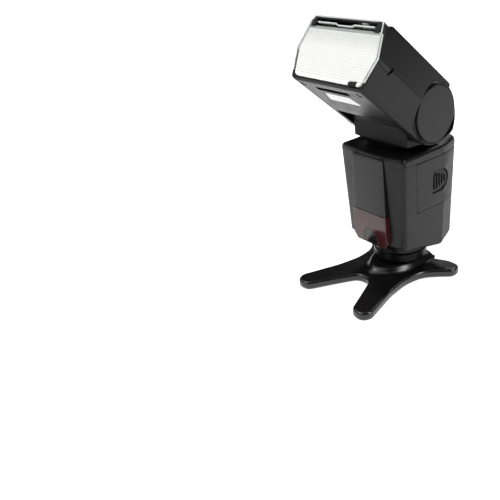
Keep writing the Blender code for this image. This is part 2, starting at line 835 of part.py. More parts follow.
def build_dial():
    dial = soften(cylinder(DIAL_R, 32.6, 37.2, (0.0, DIAL_Z), "Y", 32), 0.6, 1)
    cut(dial, cylinder(CONFIRM_R + GAP, 20.0, 60.0, (0.0, DIAL_Z), "Y", 24))
    for k in range(16):
        a = 2.0 * math.pi * k / 16.0
        at = (DIAL_R * math.cos(a), DIAL_Z + DIAL_R * math.sin(a))
        cut(dial, cylinder(0.45, 35.8, 39.0, at, "Y", 5))
    finish(dial, "selector_dial", button_grey(), (0.0, 35.0, DIAL_Z))
    ok = soften(cylinder(CONFIRM_R, 32.6, 37.6, (0.0, DIAL_Z), "Y", 20), 0.6, 1)
    finish(ok, "confirm_button", button_grey(), (0.0, 37.6, DIAL_Z))


def build_power_switch():
    switch = soften(cylinder(SWITCH_R, 32.6, 36.4, (SWITCH_X, SWITCH_Z), "Y", 20), 0.4, 1)
    grip = prism(rounded_rect(SWITCH_X - 0.9, SWITCH_X + 0.9, SWITCH_Z - 4.0, SWITCH_Z + 4.0, 0.8, 3),
                 35.6, 38.0, "Y")
    fuse(switch, soften(grip, 0.3, 1, 50.0))
    finish(switch, "power_switch", button_grey(), (SWITCH_X, 36.0, SWITCH_Z))


# ------------------------------------------------------------- terminal side

def build_terminals():
    socket = soften(cylinder(4.0, -28.2, -21.0, (8.0, 48.0), "X", 20), 0.3, 1)
    cut(socket, cylinder(2.8, -40.0, -23.5, (8.0, 48.0), "X", 16))
    fuse(socket, cylinder(0.8, -27.6, -22.5, (8.0, 48.0), "X", 12))
    finish(socket, "sync_socket", steel())
    cover = prism(rounded_rect(-1.0, 17.0, 39.0, 57.0, 1.8), -30.0, -28.8, "X")
    turn = Matrix.Rotation(math.atan2(BODY_TAPER, 70.0), 4, "Y")
    about = Vector((-29.4, 0.0, 48.0)) * MM
    cover.data.transform(Matrix.Translation(about) @ turn @ Matrix.Translation(-about))
    soften(cover, 0.3, 1)
    finish(cover, "terminal_cover", rubber(), (-29.7, -1.0, 48.0))


# ----------------------------------------------------------------- pan, neck

# Radius and height of the neck's underside, which clears the raised rear of the body at every pan angle.
NECK_UNDER = [(20.0, 105.1), (27.4, 107.6), (33.0, 108.2), (33.0, 150.0)]


def build_yoke():
    profile = [(-16.8, 104.0), (16.8, 104.0), (17.4, 108.0), (17.8, 122.0), (-17.8, 122.0), (-17.4, 108.0)]
    yoke = prism(profile, -YOKE_HALF + 1.2, YOKE_HALF - 1.2, "X")
    under = [(ring_points(r, count=48), z) for r, z in NECK_UNDER]
    yoke = soften(keep(yoke, stacked(under)), 0.9, 2)
    drum = soften(cylinder(DRUM_R, -YOKE_HALF, YOKE_HALF, (0.0, PIVOT_Z), "X", 44), 0.8, 1)
    fuse(yoke, drum)
    table = soften(cylinder(TURNTABLE_R, SECTION_HIGH + GAP, 107.8, count=44), 0.5, 1)
    fuse(yoke, table, cylinder(11.0, 93.6, 105.0, count=24))
    cut(yoke, cylinder(6.0, 80.0, 118.0, count=24))
    cut(yoke, cylinder(AXLE_R + GAP, -40.0, 40.0, (0.0, PIVOT_Z), "X", 24))
    cut(yoke, cylinder(14.5, -YOKE_HALF + 3.0, YOKE_HALF - 3.0, (0.0, PIVOT_Z), "X", 24))
    cut(yoke, block(-9.0, 9.0, -10.0, 10.0, 112.0, 122.0))
    finish(yoke, "head_yoke", matte_black(), (0.0, 0.0, 105.0))
    ring = soften(cylinder(14.6, 94.6, 97.2, count=40), 0.3, 1)
    cut(ring, cylinder(11.25, 90.0, 110.0, count=24))
    finish(ring, "pan_retainer", steel(), (0.0, 0.0, 96.0))


def build_axle():
    axle = soften(cylinder(AXLE_R, -33.6, 33.6, (0.0, 0.0), "X", 24), 0.4, 1)
    finish_head(axle, "tilt_axle", steel())


# ---------------------------------------------------------------------- head

def head_top_h(l):
    return HEAD_TOP_FRONT_H + (HEAD_TOP_REAR_H - HEAD_TOP_FRONT_H) * (HEAD_FRONT_TOP - l) / 79.7


def head_profile():
    """Side view of the head, level, as (y, z) about the tilt axis with the lamp towards -y."""
    points = [(-HEAD_FRONT_LOW, HEAD_LOW_H + 1.2), (-HEAD_FRONT_LOW + 1.4, HEAD_LOW_H)]
    for k in range(0, 17):
        a = math.radians(-90.0 + 10.0 * k)
        points.append((CHEEK_R * math.cos(a) * 0.985, CHEEK_R * math.sin(a)))
    points = [p for p in points if not (p[0] < -HEAD_LIP and p[1] > 0.0)]
    points += [(-HEAD_LIP, 21.4), (-HEAD_LIP, HEAD_TOP_REAR_H - 0.8), (-HEAD_LIP - 1.6, HEAD_TOP_REAR_H),
               (-HEAD_FRONT_TOP, HEAD_TOP_FRONT_H)]
    return points


def head_hexagon(inset):
    i = inset
    return [(-HEAD_LOW_HALF + i, HEAD_LOW_H + i * 0.98), (HEAD_LOW_HALF - i, HEAD_LOW_H + i * 0.98),
            (HEAD_MID - i, HEAD_MID_H), (HEAD_TOP_HALF - i * 0.9, 27.0 - i),
            (-HEAD_TOP_HALF + i * 0.9, 27.0 - i), (-HEAD_MID + i, HEAD_MID_H)]


def head_solid():
    solid = prism(head_profile(), -45.0, 45.0, "X")
    hexagon = fillet(head_hexagon(0.0), [4.0, 4.0, 2.5, 2.0, 2.0, 2.5], 4)
    keep(solid, prism(hexagon, -90.0, 40.0, "Y"))
    return soften(solid, 0.7, 2, 38.0)


def head_cavity():
    """Hollow for lamp and lens, open at the front."""
    inner = prism(fillet(head_hexagon(2.3), [3.0, 3.0, 1.0, 1.0, 1.0, 1.0], 3), -90.0, -26.8, "Y")
    roof = [(-90.0, -20.4), (-26.8, -20.4), (-26.8, head_top_h(26.8) - 2.4), (-90.0, head_top_h(90.0) - 2.4)]
    keep(inner, prism(roof, -45.0, 45.0, "X"))
    return inner


def drum_room():
    """Space between the cheeks that the neck drum turns in."""
    room = cylinder(DRUM_R + 0.7, -CHEEK_IN, CHEEK_IN, (0.0, 0.0), "X", 44)
    fuse(room, block(-CHEEK_IN, CHEEK_IN, -24.4, 50.0, -50.0, -5.0))
    fuse(room, block(-CHEEK_IN, CHEEK_IN, 4.4, 50.0, -50.0, 30.0))
    return room


def split_profile(gap):
    """Lower side of the parting line, which steps down near the front."""
    g = gap
    return [(-100.0, -3.6 + g), (-58.6, -3.6 + g), (-58.6, -0.8 + g), (60.0, -0.8 + g),
            (60.0, -60.0), (-100.0, -60.0)]


def cap_room(side):
    low, high = (33.2, 60.0) if side > 0 else (-60.0, -33.2)
    return cylinder(CAP_R + 0.45, low, high, (0.0, 0.0), "X", 44)


def build_head_shells():
    shell = head_solid()
    for low, high in ((30.0, 36.3), (-36.3, -30.0)):
        fuse(shell, soften(cylinder(CHEEK_R - 0.75, low, high, (0.0, 0.0), "X", 40), 0.5, 1))
    cut(shell, head_cavity(), drum_room(), cap_room(1), cap_room(-1))
    cut(shell, cylinder(AXLE_R + GAP, -50.0, 50.0, (0.0, 0.0), "X", 24))
    cut_underside(shell)
    lower = keep(copy_of(shell), prism(split_profile(-GAP / 2.0), -60.0, 60.0, "X"))
    upper = cut(shell, prism(split_profile(GAP / 2.0), -60.0, 60.0, "X"))
    finish_head(upper, "head_upper_shell", satin_black())
    finish_head(lower, "head_lower_shell", satin_black())


def underside_outline(grow):
    g = grow
    points = [(-12.0 - g, -54.6 - g), (12.0 + g, -54.6 - g), (15.4 + g, -44.0 + g), (-15.4 - g, -44.0 + g)]
    return fillet(points, 1.2, 3)


def cut_underside(shell):
    """Card slot, cover recess and the two screw pockets under the head."""
    cut(shell, prism(rounded_rect(-15.5, 15.5, -60.2, -57.4, 0.8, 3), -30.0, HEAD_LOW_H + 1.3))
    cut(shell, prism(underside_outline(GAP), -30.0, HEAD_LOW_H + 1.1))
    for x in (-27.0, 27.0):
        cut(shell, prism(rounded_rect(x - 1.9, x + 1.9, -64.2, -59.6, 1.8, 4), -30.0, HEAD_LOW_H + 1.4))
        cut(shell, cylinder(0.95, -30.0, -12.0, (x, -61.9), count=12))


def build_underside():
    cover = prism(underside_outline(0.0), HEAD_LOW_H - 0.2, HEAD_LOW_H + 0.8)
    finish_head(soften(cover, 0.25, 1), "underside_cover", gloss_black())
    for name, x in (("head_screw_left", -27.0), ("head_screw_right", 27.0)):
        screw = cylinder(1.5, HEAD_LOW_H + 0.3, HEAD_LOW_H + 1.1, (x, -61.9), count=16)
        fuse(screw, cylinder(0.65, HEAD_LOW_H + 0.9, -15.0, (x, -61.9), count=12))
        finish_head(screw, name, steel(), (x, -61.9, -20.0))


def build_caps():
    right = soften(cylinder(CAP_R, 33.5, CAP_FACE, (0.0, 0.0), "X", 44), 0.8, 2)
    left = mirrored_x(copy_of(right))
    cut(right, cylinder(AXLE_R + 0.6, 20.0, 34.6, (0.0, 0.0), "X", 24))
    cut(left, cylinder(6.3, -60.0, -20.0, (0.0, 0.0), "X", 24))
    finish_head(right, "tilt_cap_right", satin_black())
    finish_head(left, "tilt_cap_left", satin_black())
    button = soften(cylinder(6.0, -38.4, -35.4, (0.0, 0.0), "X", 24), 0.6, 1)
    for k in range(3):
        z = -2.4 + 2.4 * k
        cut(button, block(-39.0, -38.0, -3.4, 3.4, z - 0.35, z + 0.35))
    finish_head(button, "head_release_button", button_grey(), (-38.4, 0.0, 0.0))


def face_l(h):
    return 71.6 + (HEAD_FRONT_TOP - HEAD_FRONT_LOW) / 45.1 * h


def leaning_slab(front, back, low, high):
    """Slab parallel to the leaning front face."""
    points = [(-face_l(low) - front, low), (-face_l(low) + back, low),
              (-face_l(high) + back, high), (-face_l(high) - front, high)]
    return prism(points, -50.0, 50.0, "X")


def build_lens():
    outline = fillet(head_hexagon(2.6), [3.5, 3.5, 1.5, 1.0, 1.0, 1.5], 3)
    lens = keep(prism(outline, -90.0, -40.0, "Y"), leaning_slab(1.0, 1.8, -30.0, 15.0))
    seat = fillet(head_hexagon(2.9), [3.5, 3.5, 1.5, 1.0, 1.0, 1.5], 3)
    rim = keep(prism(seat, -90.0, -40.0, "Y"), leaning_slab(0.2, 4.6, -30.0, 14.8))
    inner = fillet(head_hexagon(4.4), [2.5, 2.5, 1.0, 1.0, 1.0, 1.0], 3)
    cut(rim, keep(prism(inner, -95.0, -30.0, "Y"), block(-50.0, 50.0, -95.0, -30.0, -30.0, 13.2)))
    fuse(lens, rim)
    for k in range(8):
        h = -16.4 + 3.5 * k
        ridge = [(-face_l(h) + 1.5, h), (-face_l(h) + 2.5, h + 0.2), (-face_l(h) + 1.5, h + 2.6)]
        width = 29.0 + min(3.0, 0.3 * (h + 20.0))
        fuse(lens, prism(ridge, -width, width, "X"))
    finish_head(lens, "fresnel_lens", clear_plastic(), (0.0, -70.0, 0.0))


def build_card_guide():
    guide = block(-31.2, 31.2, -67.5, -27.4, 15.6, 16.6)
    for side in (-1.0, 1.0):
        wall = [(27.0, 15.6), (32.4, 15.6), (31.6, 19.7), (27.0, 19.7)]
        points = [(x * side, z) for x, z in wall]
        fuse(guide, prism(points, -73.0, -27.4, "Y"))
    finish_head(guide, "card_guide", matte_black(), (0.0, -50.0, 16.0))


def build_cards():
    wide = prism(rounded_rect(-26.5, 26.5, -74.0, -29.0, 1.0, 3), 17.0, 18.0)
    tab = [(-6.0, -73.0), (6.0, -73.0), (4.0, -75.8), (-4.0, -75.8)]
    fuse(wide, prism(tab, 17.0, 18.0))
    for k in range(10):
        y = -70.0 + 4.0 * k
        cut(wide, block(-23.0, 23.0, y - 0.25, y + 0.25, 17.8, 19.0))
    finish_head(wide, "wide_panel", clear_plastic(), (0.0, -74.0, 17.5))
    card = prism(rounded_rect(-25.5, 25.5, -72.6, -29.0, 1.5, 3), 18.6, 19.4)
    fuse(card, prism(rounded_rect(-5.0, 5.0, -74.6, -70.0, 1.0, 3), 18.6, 19.4))
    finish_head(card, "bounce_card", white_plastic(), (0.0, -72.0, 19.0))


def trough(offset):
    points = []
    for k in range(13):
        h = -10.6 + 10.6 * 2.0 * k / 12.0
        points.append((-(31.2 + h * h / 11.0) + offset, h * (1.0 + offset * 0.06)))
    return points


def build_lamp_unit():
    reflector = prism(trough(0.0) + list(reversed(trough(0.9))), -25.6, 25.6, "X")
    ends = trough(0.45) + [(-41.6, 10.9), (-41.6, -10.9)]
    for low, high in ((-25.6, -24.8), (24.8, 25.6)):
        fuse(reflector, prism(ends, low, high, "X"))
    cut(reflector, cylinder(2.3, -30.0, 30.0, (-34.6, 0.0), "X", 20))
    finish_head(reflector, "reflector", mirror(), (0.0, -35.0, 0.0))
    tube = soften(cylinder(1.9, -27.8, 27.8, (-34.6, 0.0), "X", 20), 0.4, 1)
    finish_head(tube, "flash_tube", clear_plastic(), (0.0, -34.6, 0.0))
    frame = block(-29.0, 29.0, -45.0, -28.0, -12.6, 13.6)
    cut(frame, block(-25.9, 25.9, -60.0, -29.4, -12.3 + 0.9, 12.4))
    cut(frame, cylinder(2.2, -40.0, 40.0, (-34.6, 0.0), "X", 20))
    for x, r in ((-21.0, 1.3), (21.0, 1.3), (8.0, 1.5)):
        fuse(frame, block(x - 2.6, x + 2.6, -45.0, -41.0, -18.2, -12.0))
        cut(frame, cylinder(r, -60.0, -38.0, (x, -15.6), "Y", 16))
    finish_head(frame, "zoom_carriage", matte_black(), (0.0, -36.0, 0.0))


def build_zoom_drive():
    rails = cylinder(1.0, -64.0, -27.2, (-21.0, -15.6), "Y", 12)
    fuse(rails, cylinder(1.0, -64.0, -27.2, (21.0, -15.6), "Y", 12))
    fuse(rails, block(-22.5, 22.5, -64.4, -63.2, -16.8, -14.4))
    finish_head(rails, "zoom_rails", steel(), (0.0, -45.0, -15.6))
    motor = soften(cylinder(2.9, -38.0, -27.2, (8.0, -15.8), "Y", 24), 0.3, 1)
    finish_head(motor, "zoom_motor", steel(), (8.0, -32.0, -15.8))
    screw = cylinder(1.2, -62.8, -38.4, (8.0, -15.6), "Y", 16)
    finish_head(screw, "zoom_lead_screw", brass(), (8.0, -50.0, -15.6))


def main():
    clear_scene()
    build_stand()
    build_foot()
    build_contacts()
    build_locking_pin()
    build_collar()
    build_body_shells()
    build_front_panel()
    build_assist_lamps()
    build_battery_door()
    build_door_latch()
    build_battery_tray()
    build_cells()
    build_door_contacts()
    build_capacitor()
    build_boards()
    build_display()
    build_buttons()
    build_dial()
    build_power_switch()
    build_terminals()
    build_yoke()
    build_axle()
    build_head_shells()
    build_underside()
    build_caps()
    build_lens()
    build_card_guide()
    build_cards()
    build_lamp_unit()
    build_zoom_drive()


main()
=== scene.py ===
"""Looks of a camera speedlight on its mini stand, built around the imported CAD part.

Lengths are in millimetres and turned into metres where a mesh is made. Pieces of the head are
described with the head level, the lamp towards -y and the tilt axis at the origin, and are then
tilted to their rest position.
"""
import json
import math

import bmesh
import bpy
from mathutils import Matrix, Vector


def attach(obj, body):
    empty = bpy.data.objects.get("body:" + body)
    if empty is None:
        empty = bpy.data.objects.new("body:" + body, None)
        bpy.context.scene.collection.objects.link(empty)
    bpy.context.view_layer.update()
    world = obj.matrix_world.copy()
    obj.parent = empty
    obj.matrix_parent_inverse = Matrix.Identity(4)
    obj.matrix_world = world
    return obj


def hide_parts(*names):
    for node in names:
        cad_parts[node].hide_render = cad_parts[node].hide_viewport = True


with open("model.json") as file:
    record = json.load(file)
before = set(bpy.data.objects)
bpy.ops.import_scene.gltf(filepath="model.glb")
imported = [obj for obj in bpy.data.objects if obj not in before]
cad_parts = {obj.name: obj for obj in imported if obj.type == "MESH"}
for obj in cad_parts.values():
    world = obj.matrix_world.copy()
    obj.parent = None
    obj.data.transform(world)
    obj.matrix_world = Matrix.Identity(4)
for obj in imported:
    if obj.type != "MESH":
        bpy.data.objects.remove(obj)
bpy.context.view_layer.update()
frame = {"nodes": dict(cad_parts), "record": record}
record = frame["record"]
nodes = frame["nodes"]
node_slots = {part["node"]: part["material_slot"] for part in record["subparts"]}
body_of_node = {n: body for body, members in record["behaviour"]["bodies"].items() for n in members}

MM = 0.001
SIDES = ((1.0, "right"), (-1.0, "left"))

# Head, level, about the tilt axis. Its front face leans forwards with height.
PIVOT_Z = 131.0
REST_TILT = 40.0
FACE_MIDDLE = 71.6
FACE_LEAN = 7.2 / 45.1
CAP_GROOVE_R = 21.1
CAP_GROOVE_X = 35.4
SEAM_NOTCH_X = 36.6
PAST_SIDE_X = 42.0

# Lens: heights of its lower edge, widest line and top edge, and half widths there.
LENS_LOW, LENS_MID, LENS_TOP = -19.9, -1.2, 14.9
LENS_LOW_HALF, LENS_MID_HALF, LENS_TOP_HALF = 31.2, 36.2, 32.6
LENS_CORNER_R = 3.2
LENS_BACK = 1.7
LENS_PROUD = 0.95
RIB_GROOVE = 0.4
RIB_PITCH = 1.75
RIB_STEP = 0.18
RIB_CREST = 0.12
RIBS_START = LENS_LOW + 2.6
RIBS_END = 11.4
PRISM_PITCH = 1.3

# Card slot above the lens, and the cards in it.
RIM_LOW, RIM_MIDDLE, RIM_HIGH = 21.3, 21.6, 22.1
PANEL_HALF = 26.4
PANEL_FRONT, PANEL_REAR = -73.6, -29.2
PANEL_LOW, PANEL_HIGH = 17.1, 17.6
TAB_LEFT, TAB_RIGHT = 12.4, 17.8

# Camera, from the photograph's viewpoint.
VIEW_AZIMUTH = 45.4
VIEW_ELEVATION = 20.2
VIEW_ROLL = -1.5
VIEW_TARGET = Vector((-11.2, -14.0, 84.6))
VIEW_DISTANCE = 446.6
FOCAL_LENGTH = 43.2
SENSOR_WIDTH = 36.0
SHIFT = (-0.246, -0.166)

# Studio.
FLOOR_RADIUS = 9.0
FLOOR_Z = -0.0002
FLOOR_GLOW = 0.75
SUN_POWER = 1.4
SUN_ANGLE = 80.0
SUN_FROM = Vector((-0.35, -0.45, 0.95))

WHITE = (1.0, 1.0, 1.0, 1.0)
PLASTIC_IOR = 1.49
WORN_EDGE = 0.35


# ---------------------------------------------------------------- materials

def principled(name):
    made = bpy.data.materials.new(name)
    made.use_nodes = True
    tree = made.node_tree
    return made, tree.nodes, tree.links, tree.nodes["Principled BSDF"]


def set_sockets(shader, values):
    for socket, value in values.items():
        shader.inputs[socket].default_value = value


def noise(tree_nodes, tree_links, scale, detail, stretch=(1.0, 1.0, 1.0)):
    """Noise in the object's own space, with scale in repeats per metre."""
    place = tree_nodes.new("ShaderNodeTexCoord")
    mapping = tree_nodes.new("ShaderNodeMapping")
    mapping.inputs["Scale"].default_value = stretch
    texture = tree_nodes.new("ShaderNodeTexNoise")
    texture.inputs["Scale"].default_value = scale
    texture.inputs["Detail"].default_value = detail
    tree_links.new(place.outputs["Object"], mapping.inputs["Vector"])
    tree_links.new(mapping.outputs["Vector"], texture.inputs["Vector"])
    return texture.outputs["Fac"]


def stripes(tree_nodes, tree_links, vector, direction, scale):
    """Soft stripes across one axis of a vector."""
    wave = tree_nodes.new("ShaderNodeTexWave")
    wave.bands_direction = direction
    wave.inputs["Scale"].default_value = scale
    wave.inputs["Distortion"].default_value = 0.0
    tree_links.new(vector, wave.inputs["Vector"])
    return wave.outputs["Fac"]


def stripe_scale(pitch):
    """Scale of a wave texture whose stripes repeat at a pitch in millimetres."""
    return math.tau / (20.0 * pitch * MM)


def ranged(tree_nodes, tree_links, source, low, high, start=0.3, end=0.7):
    """A value between start and end, spread from low to high."""
    node = tree_nodes.new("ShaderNodeMapRange")
    node.inputs["From Min"].default_value = start
    node.inputs["From Max"].default_value = end
    node.inputs["To Min"].default_value = low
    node.inputs["To Max"].default_value = high
    tree_links.new(source, node.inputs["Value"])
    return node.outputs["Result"]


def colour_mix(tree_nodes, tree_links, factor, first, second):
    """A mix of two colours, each a tuple or the output of a node."""
    node = tree_nodes.new("ShaderNodeMix")
    node.data_type = "RGBA"
    tree_links.new(factor, node.inputs[0])
    for value, socket in ((first, node.inputs[6]), (second, node.inputs[7])):
        if isinstance(value, tuple):
            socket.default_value = (*value, 1.0)
        else:
            tree_links.new(value, socket)
    return node.outputs[2]


def scaled(colour, factor):
    return tuple(min(1.0, c * factor) for c in colour)


def edge_mask(tree_nodes, tree_links):
    """Near 1 on edges, within the width that wear reaches, and 0 on flats."""
    bevel = tree_nodes.new("ShaderNodeBevel")
    bevel.samples = 4
    bevel.inputs["Radius"].default_value = WORN_EDGE * MM
    geometry = tree_nodes.new("ShaderNodeNewGeometry")
    dot = tree_nodes.new("ShaderNodeVectorMath")
    dot.operation = "DOT_PRODUCT"
    tree_links.new(bevel.outputs["Normal"], dot.inputs[0])
    tree_links.new(geometry.outputs["Normal"], dot.inputs[1])
    return ranged(tree_nodes, tree_links, dot.outputs["Value"], 1.0, 0.0, 0.86, 0.995)


def bumped(tree_nodes, tree_links, shader, height, depth, strength):
    """Relief on a shader, with its depth in millimetres."""
    bump = tree_nodes.new("ShaderNodeBump")
    bump.inputs["Distance"].default_value = depth * MM
    bump.inputs["Strength"].default_value = strength
    tree_links.new(height, bump.inputs["Height"])
    tree_links.new(bump.outputs["Normal"], shader.inputs["Normal"])


def surface(name, colour, rough, grain=(2600.0, 0.02), tone=0.12, worn=1.35, sockets=None):
    """A moulded surface: mottled colour, patchy gloss, lighter worn edges, and grain.

    Grain is its repeats per metre and its depth, tone is how much the colour varies, and worn is
    how much lighter the edges are.
    """
    made, tn, tl, shader = principled(name)
    set_sockets(shader, sockets or {})
    patches = ranged(tn, tl, noise(tn, tl, 46.0, 5.0), 0.0, 1.0)
    base = colour_mix(tn, tl, patches, scaled(colour, 1.0 - tone), scaled(colour, 1.0 + tone))
    base = colour_mix(tn, tl, edge_mask(tn, tl), base, scaled(colour, worn))
    tl.new(base, shader.inputs["Base Color"])
    tl.new(ranged(tn, tl, noise(tn, tl, 130.0, 6.0), *rough), shader.inputs["Roughness"])
    grain_repeats, grain_depth = grain
    bumped(tn, tl, shader, noise(tn, tl, grain_repeats, 2.0), grain_depth, 0.5)
    return made


def streaked_metal(name, colour, rough, stretch):
    """Turned or drawn metal, with fine streaks along one direction."""
    made, tn, tl, shader = principled(name)
    shader.inputs["Metallic"].default_value = 1.0
    lines = noise(tn, tl, 700.0, 4.0, stretch)
    tone = ranged(tn, tl, lines, 0.0, 1.0)
    tl.new(colour_mix(tn, tl, tone, scaled(colour, 0.82), colour), shader.inputs["Base Color"])
    tl.new(ranged(tn, tl, lines, *rough), shader.inputs["Roughness"])
    bumped(tn, tl, shader, lines, 0.01, 0.4)
    return made


def clear_surface(name, colour, rough, transmission):
    """Clear or frosted plastic with faint flow marks."""
    made, tn, tl, shader = principled(name)
    set_sockets(shader, {"IOR": PLASTIC_IOR, "Transmission Weight": transmission})
    flow = noise(tn, tl, 90.0, 3.0)
    tone = ranged(tn, tl, flow, 0.0, 1.0)
    tl.new(colour_mix(tn, tl, tone, scaled(colour, 0.96), colour), shader.inputs["Base Color"])
    tl.new(ranged(tn, tl, flow, *rough), shader.inputs["Roughness"])
    bumped(tn, tl, shader, flow, 0.03, 0.3)
    return made


def cell_sleeve():
    """Shrink sleeve of a cell: dark, with lighter bands."""
    made, tn, tl, shader = principled("cell_sleeve_look")
    place = tn.new("ShaderNodeTexCoord")
    wave = stripes(tn, tl, place.outputs["Object"], "Z", 9.0)
    band = ranged(tn, tl, wave, 0.0, 1.0, 0.78, 0.8)
    tl.new(colour_mix(tn, tl, band, (0.07, 0.08, 0.1), (0.5, 0.36, 0.12)), shader.inputs["Base Color"])
    tl.new(ranged(tn, tl, noise(tn, tl, 90.0, 4.0), 0.22, 0.36), shader.inputs["Roughness"])
    bumped(tn, tl, shader, noise(tn, tl, 1500.0, 2.0), 0.01, 0.3)
    return made


def circuit_board():
    """Green solder mask with lighter tracks."""
    made, tn, tl, shader = principled("circuit_board_look")
    place = tn.new("ShaderNodeTexCoord")
    cells = tn.new("ShaderNodeTexVoronoi")
    cells.distance = "MANHATTAN"
    cells.feature = "F1"
    cells.inputs["Scale"].default_value = 260.0
    tl.new(place.outputs["Object"], cells.inputs["Vector"])
    tracks = ranged(tn, tl, cells.outputs["Distance"], 1.0, 0.0, 0.42, 0.5)
    tl.new(colour_mix(tn, tl, tracks, (0.02, 0.12, 0.045), (0.05, 0.24, 0.09)), shader.inputs["Base Color"])
    tl.new(ranged(tn, tl, noise(tn, tl, 200.0, 3.0), 0.3, 0.45), shader.inputs["Roughness"])
    bumped(tn, tl, shader, tracks, 0.03, 0.5)
    return made


def lens_look():
    """Ribbed clear plastic that scatters so much light that it looks white, darker at the top."""
    made, tn, tl, shader = principled("fresnel_look")
    set_sockets(shader, {"IOR": PLASTIC_IOR, "Specular IOR Level": 0.3, "Coat Weight": 0.3,
                         "Coat Roughness": 0.12})
    place = tn.new("ShaderNodeTexCoord")
    turn = tn.new("ShaderNodeMapping")
    turn.inputs["Rotation"].default_value = (math.radians(REST_TILT), 0.0, 0.0)
    tl.new(place.outputs["Object"], turn.inputs["Vector"])
    level = turn.outputs["Vector"]
    split = tn.new("ShaderNodeSeparateXYZ")
    tl.new(level, split.inputs["Vector"])
    axis_height = PIVOT_Z * math.cos(math.radians(REST_TILT))

    def above(low, high, most):
        """From 0 at one height on the lens to most at another."""
        return ranged(tn, tl, split.outputs["Z"], 0.0, most, (axis_height + low) * MM,
                      (axis_height + high) * MM)

    ribs = stripes(tn, tl, level, "Z", stripe_scale(RIB_PITCH))
    prisms = stripes(tn, tl, level, "X", stripe_scale(PRISM_PITCH))
    base = colour_mix(tn, tl, ribs, (0.9, 0.902, 0.89), (0.79, 0.8, 0.78))
    hatched = colour_mix(tn, tl, prisms, (0.78, 0.785, 0.77), (0.56, 0.57, 0.56))
    base = colour_mix(tn, tl, above(1.0, 11.0, 0.8), base, hatched)
    base = colour_mix(tn, tl, above(12.3, 13.0, 0.85), base, (0.22, 0.225, 0.225))
    tl.new(base, shader.inputs["Base Color"])
    tl.new(ranged(tn, tl, noise(tn, tl, 60.0, 2.0), 0.24, 0.3), shader.inputs["Roughness"])
    bumped(tn, tl, shader, noise(tn, tl, 1600.0, 2.0), 0.004, 0.3)
    return made


def black_looks():
    return {
        "satin_black_plastic": surface(
            "satin_black_look", (0.0042, 0.0042, 0.0045), (0.3, 0.4),
            sockets={"Specular IOR Level": 0.2}),
        "matte_black_plastic": surface(
            "matte_black_look", (0.0042, 0.0042, 0.0045), (0.42, 0.52), grain=(2200.0, 0.03),
            sockets={"Specular IOR Level": 0.2}),
        # A darker, less shiny copy of the black plastic: painted shade for parts that sit in shadow.
        "painted_shade_black_plastic": surface(
            "painted_shade_black_look", (0.0022, 0.0022, 0.0024), (0.26, 0.36),
            sockets={"Specular IOR Level": 0.1}),
        "gloss_black_panel": surface(
            "gloss_black_look", (0.0035, 0.0035, 0.0038), (0.14, 0.22), grain=(900.0, 0.004),
            sockets={"Specular IOR Level": 0.3}),
        "stand_black_plastic": surface(
            "stand_black_look", (0.0036, 0.0036, 0.0039), (0.2, 0.28), grain=(1800.0, 0.012)),
        "glossy_plate": surface(
            "glossy_plate_look", (0.02, 0.02, 0.021), (0.1, 0.16), grain=(700.0, 0.002),
            sockets={"Specular IOR Level": 1.0, "Coat Weight": 1.0}),
        "black_screw": surface(
            "black_screw_look", (0.01, 0.01, 0.011), (0.3, 0.42), sockets={"Metallic": 0.6}),
        "black_rubber": surface(
            "black_rubber_look", (0.022, 0.022, 0.023), (0.62, 0.78), grain=(1500.0, 0.05)),
    }


def coloured_looks():
    return {
        "button_grey": surface(
            "button_grey_look", (0.075, 0.075, 0.08), (0.5, 0.62), grain=(2400.0, 0.03)),
        "white_plastic": surface(
            "white_plastic_look", (0.84, 0.83, 0.79), (0.42, 0.55), tone=0.03, worn=0.97),
        "dark_sensor_plastic": surface(
            "sensor_look", (0.003, 0.0012, 0.0014), (0.1, 0.18), grain=(600.0, 0.003)),
        "red_window_plastic": surface(
            "red_window_look", (0.03, 0.0022, 0.0032), (0.1, 0.18), grain=(600.0, 0.003),
            tone=0.25, worn=1.6),
        "lcd_glass": surface(
            "lcd_look", (0.2, 0.24, 0.19), (0.08, 0.16), grain=(500.0, 0.004), tone=0.06, worn=1.1),
        # Clear plastic coloured near white with little transmission, so its edges show as bright lines:
        # painted highlight on real clear strips.
        "painted_glint_clear_edge": surface(
            "painted_glint_strip_look", (0.82, 0.84, 0.83), (0.08, 0.16), grain=(900.0, 0.002),
            tone=0.05, worn=1.05, sockets={"Transmission Weight": 0.25, "IOR": PLASTIC_IOR}),
        "clear_plastic": clear_surface("clear_plastic_look", (0.95, 0.965, 0.96), (0.04, 0.09), 0.92),
        "lamp_amber": clear_surface("lamp_amber_look", (0.7, 0.22, 0.04), (0.1, 0.2), 0.4),
        "circuit_board": circuit_board(),
        "cell_sleeve": cell_sleeve(),
    }


def metal_looks():
    return {
        "plated_steel": streaked_metal(
            "plated_steel_look", (0.62, 0.62, 0.63), (0.2, 0.36), (1.0, 1.0, 0.05)),
        "brass": streaked_metal("brass_look", (0.74, 0.53, 0.22), (0.2, 0.34), (1.0, 0.1, 1.0)),
        "gold_contact": streaked_metal(
            "gold_contact_look", (0.86, 0.62, 0.24), (0.14, 0.26), (1.0, 1.0, 0.2)),
        "bright_reflector": streaked_metal(
            "reflector_look", (0.9, 0.9, 0.91), (0.06, 0.14), (0.08, 1.0, 1.0)),
        "copper_winding": streaked_metal("copper_look", (0.6, 0.27, 0.12), (0.26, 0.4), (1.0, 1.0, 8.0)),
    }


# ---------------------------------------------------------------- mesh helpers

def head_matrix():
    """From the level head, in millimetres about its axis, to the world in metres."""
    tilt = Matrix.Rotation(math.radians(-REST_TILT), 4, "X")
    return Matrix.Scale(MM, 4) @ Matrix.Translation((0.0, 0.0, PIVOT_Z)) @ tilt


def object_from(bm, name):
    mesh = bpy.data.meshes.new(name)
    bm.to_mesh(mesh)
    bm.free()
    ob = bpy.data.objects.new(name, mesh)
    bpy.context.scene.collection.objects.link(ob)
    return ob


